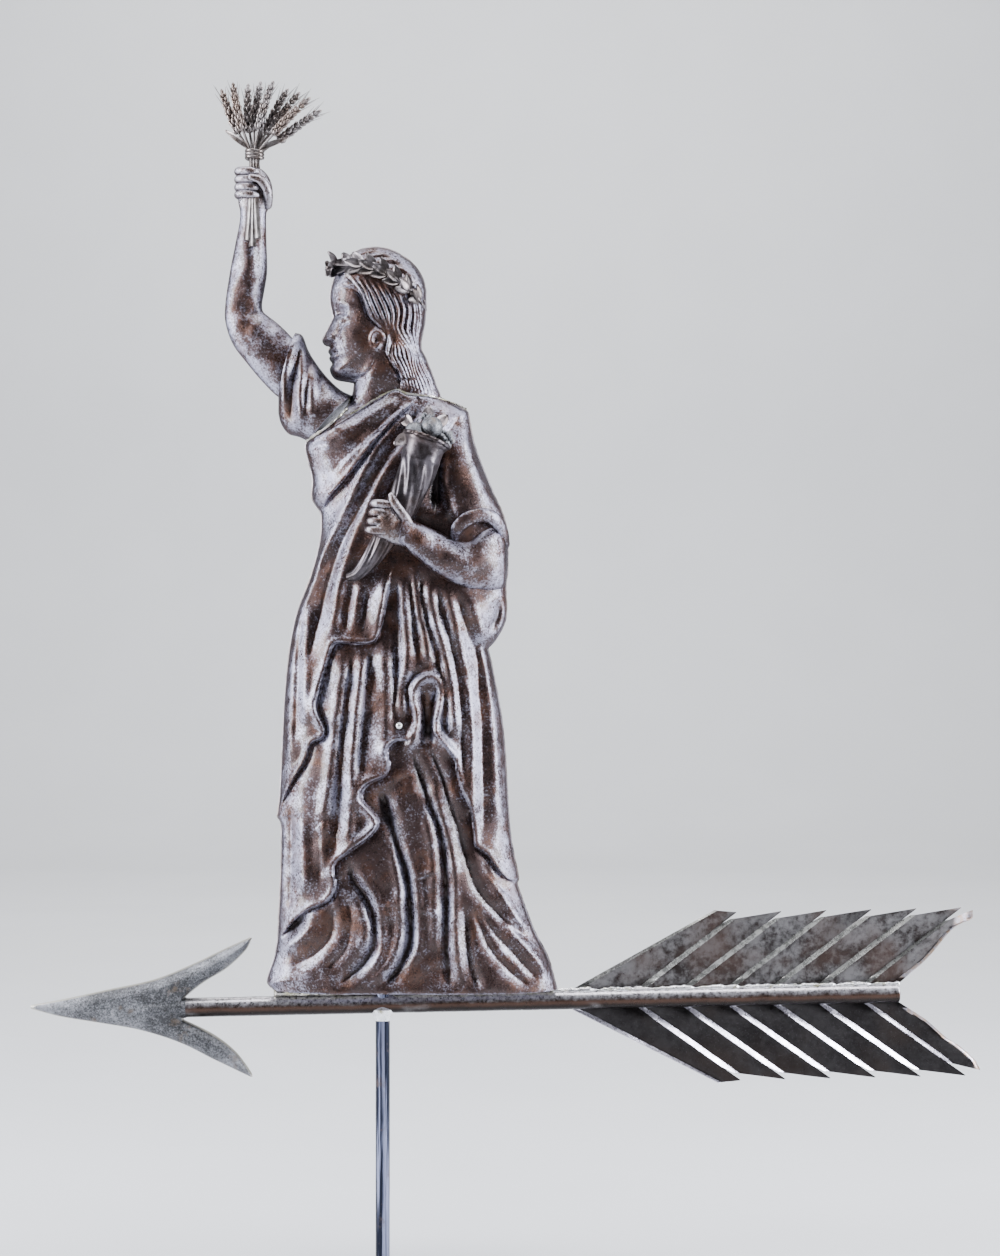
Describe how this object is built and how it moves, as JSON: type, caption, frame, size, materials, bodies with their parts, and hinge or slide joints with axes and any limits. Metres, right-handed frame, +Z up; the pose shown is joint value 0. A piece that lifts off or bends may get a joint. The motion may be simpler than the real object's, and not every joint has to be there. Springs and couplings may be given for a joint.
{
  "type": "weathervane",
  "caption": "Weathervane: a robed harvest figure with raised sheaf and horn of plenty, standing on a long arrow that turns on a steel spindle.",
  "frame": {"origin": "centre of the spindle's flat foot", "axes": "+Z up along the spindle, -X the way the arrow points, -Y the side that carries the horn"},
  "size_m": [1.0466, 0.13, 1.3263],
  "materials": {
    "copper_brown": "sheet copper patinated glossy dark brown, with orange rust in the folds and silvery wear on the crests",
    "sheet_grey": "smooth grey-brown tarnished sheet metal with bright bent edges",
    "shaft_metal": "tarnished tube, brown above and silvery where solder has run",
    "cast_grey": "matt, grainy grey casting",
    "solder": "dull silvery solder",
    "steel": "polished round bar"
  },
  "bodies": {
    "spindle": {"spindle": "steel"},
    "vane": {"spindle_collar": "solder", "arrow_shaft": "shaft_metal", "arrow_head": "cast_grey", "fletching_upper": "sheet_grey", "fletching_lower": "sheet_grey", "saddle_front": "solder", "saddle_rear": "solder", "figure_body": "copper_brown", "raised_arm": "copper_brown", "left_forearm": "copper_brown", "horn": "sheet_grey", "horn_fruit": "cast_grey", "leaf_wreath": "sheet_grey", "wheat_sheaf": "sheet_grey", "stalk_ends": "sheet_grey", "robe_rivet": "solder"}
  },
  "joints": [
    {"name": "vane_turn", "type": "hinge", "parent": "spindle", "child": "vane", "pos_m": [0, 0, 0.3], "axis": [0, 0, 1], "continuous": true}
  ]
}
